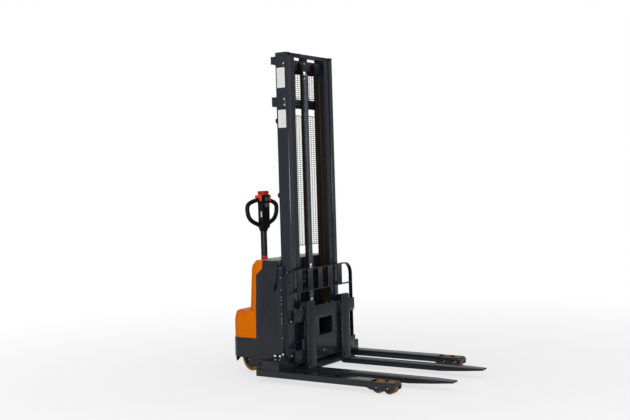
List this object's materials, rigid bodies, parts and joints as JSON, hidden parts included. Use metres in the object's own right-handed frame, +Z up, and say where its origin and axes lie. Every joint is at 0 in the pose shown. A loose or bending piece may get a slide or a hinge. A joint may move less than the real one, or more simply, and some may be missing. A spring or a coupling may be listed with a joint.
{
  "type": "electric walkie straddle stacker",
  "caption": "Electric walkie straddle stacker with a tall two-stage mast, raised by a centre ram, straddle legs, tapered forks, load backrest and an upright steering tiller.",
  "frame": {"origin": "middle of the footprint on the floor", "axes": "+X towards the fork tips, +Y to the operator's left, +Z up"},
  "size_m": [1.748, 1.075, 2.274],
  "materials": {
    "dark_paint": "satin",
    "orange_paint": "semi_gloss",
    "leg_paint": "satin",
    "chrome_rod": "polished",
    "chain_steel": "oiled",
    "zinc_steel": "satin",
    "amber_polyurethane": "satin",
    "black_plastic": "matte",
    "grey_plastic": "matte",
    "red_plastic": "gloss",
    "orange_plastic": "gloss",
    "panel_plastic": "matte",
    "caster_rubber": "matte",
    "battery_case": "matte"
  },
  "bodies": {
    "chassis": {"chassis_frame": "dark_paint", "leg_left": "leg_paint", "leg_right": "leg_paint", "mast_bracket_left": "dark_paint", "mast_bracket_right": "dark_paint", "outer_mast": "dark_paint", "cylinder_barrel": "dark_paint", "rear_chain_left": "chain_steel", "rear_chain_right": "chain_steel", "mesh_guard": "dark_paint", "battery": "battery_case", "body_cover": "dark_paint", "rear_cover": "orange_paint", "top_panel": "panel_plastic", "emergency_stop": "red_plastic", "key_switch": "black_plastic", "charge_gauge": "black_plastic", "steering_collar": "dark_paint"},
    "mast_section": {"inner_mast": "dark_paint", "sheave_left": "zinc_steel", "sheave_right": "zinc_steel", "piston_rod": "chrome_rod", "front_chain_left": "chain_steel", "front_chain_right": "chain_steel"},
    "fork_carriage": {"carriage": "dark_paint", "fork_left": "leg_paint", "fork_right": "leg_paint", "load_backrest": "dark_paint"},
    "drive_unit": {"drive_yoke": "dark_paint"},
    "drive_tyre": {"drive_wheel": "amber_polyurethane"},
    "caster_fork": {"caster_yoke": "zinc_steel"},
    "caster_tyre": {"caster_wheel": "caster_rubber"},
    "tiller_turntable": {"tiller_base": "dark_paint"},
    "tiller": {"tiller_arm": "dark_paint", "tiller_head": "black_plastic", "belly_button": "red_plastic", "throttle_left": "orange_plastic", "throttle_right": "orange_plastic", "rocker_buttons": "grey_plastic"},
    "roller_left_rear": {"load_wheel_left_rear": "amber_polyurethane"},
    "roller_left_front": {"load_wheel_left_front": "amber_polyurethane"},
    "roller_right_rear": {"load_wheel_right_rear": "amber_polyurethane"},
    "roller_right_front": {"load_wheel_right_front": "amber_polyurethane"}
  },
  "joints": [
    {"name": "mast_lift", "type": "slide", "parent": "chassis", "child": "mast_section", "axis": [0, 0, 1], "range_m": [0, 1.5], "deforming": ["rear_chain_left", "rear_chain_right"]},
    {"name": "carriage_lift", "type": "slide", "parent": "mast_section", "child": "fork_carriage", "axis": [0, 0, 1], "range_m": [0, 1.5], "deforming": ["front_chain_left", "front_chain_right"]},
    {"name": "tiller_steer", "type": "hinge", "parent": "chassis", "child": "tiller_turntable", "pos_m": [-0.783, 0, 0.47], "axis": [0, 0, 1], "range_deg": [-73, 107]},
    {"name": "tiller_fold", "type": "hinge", "parent": "tiller_turntable", "child": "tiller", "pos_m": [-0.783, 0, 0.54], "axis": [-0.2924, -0.9563, 0], "range_deg": [0, 82]},
    {"name": "drive_steer", "type": "hinge", "parent": "chassis", "child": "drive_unit", "pos_m": [-0.752, -0.203, 0.268], "axis": [0, 0, 1], "range_deg": [-73, 107]},
    {"name": "drive_wheel_spin", "type": "hinge", "parent": "drive_unit", "child": "drive_tyre", "pos_m": [-0.752, -0.203, 0.105], "axis": [0.2924, 0.9563, 0], "continuous": true},
    {"name": "caster_swivel", "type": "hinge", "parent": "chassis", "child": "caster_fork", "pos_m": [-0.744, 0.205, 0.262], "axis": [0, 0, 1], "continuous": true},
    {"name": "caster_wheel_spin", "type": "hinge", "parent": "caster_fork", "child": "caster_tyre", "pos_m": [-0.776, 0.205, 0.0625], "axis": [0, 1, 0], "continuous": true},
    {"name": "roller_left_rear_spin", "type": "hinge", "parent": "chassis", "child": "roller_left_rear", "pos_m": [0.46, 0.489, 0.0405], "axis": [0, 1, 0], "continuous": true},
    {"name": "roller_left_front_spin", "type": "hinge", "parent": "chassis", "child": "roller_left_front", "pos_m": [0.543, 0.489, 0.0405], "axis": [0, 1, 0], "continuous": true},
    {"name": "roller_right_rear_spin", "type": "hinge", "parent": "chassis", "child": "roller_right_rear", "pos_m": [0.46, -0.489, 0.0405], "axis": [0, 1, 0], "continuous": true},
    {"name": "roller_right_front_spin", "type": "hinge", "parent": "chassis", "child": "roller_right_front", "pos_m": [0.543, -0.489, 0.0405], "axis": [0, 1, 0], "continuous": true}
  ],
  "couplings": [
    {"joint": "carriage_lift", "follows": "mast_lift", "ratio": 1},
    {"joint": "drive_steer", "follows": "tiller_steer", "ratio": 1}
  ]
}
